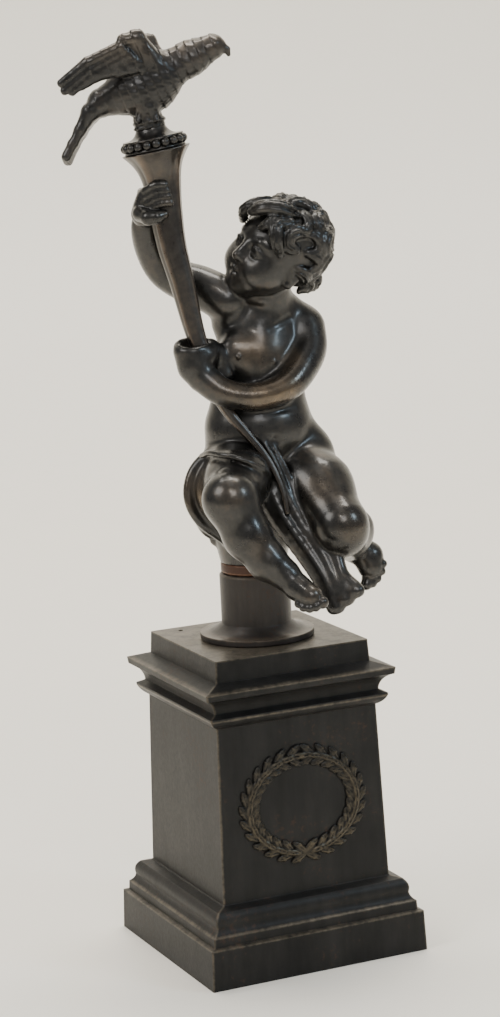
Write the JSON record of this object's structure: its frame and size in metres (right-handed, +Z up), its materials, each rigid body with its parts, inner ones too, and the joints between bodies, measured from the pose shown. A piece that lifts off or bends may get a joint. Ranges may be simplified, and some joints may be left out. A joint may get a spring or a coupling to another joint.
{
  "type": "figure sculpture",
  "caption": "Cast bronze seated infant holding a long horn with a bird finial, on a round socle and square moulded pedestal with a wreath.",
  "frame": {"origin": "centre of the pedestal's underside", "axes": "+Z up, -Y out of the pedestal face that carries the wreath, +X to the figure's left"},
  "size_m": [0.0956, 0.0872, 0.2984],
  "materials": {
    "pedestal": "satin black brown patina",
    "laurel_wreath": "dark patina worn to brass on the leaf tips",
    "drum": "satin black brown patina",
    "seat_collar": "satin red brown patina",
    "putto": "glossy dark brown patina, coppery where rubbed",
    "horn": "glossy dark brown patina",
    "bird_finial": "dark brown patina"
  },
  "bodies": {
    "root": {"pedestal": "pedestal", "laurel_wreath": "laurel_wreath", "drum": "drum", "seat_collar": "seat_collar", "putto": "putto", "horn": "horn", "bird_finial": "bird_finial"}
  },
  "joints": []
}
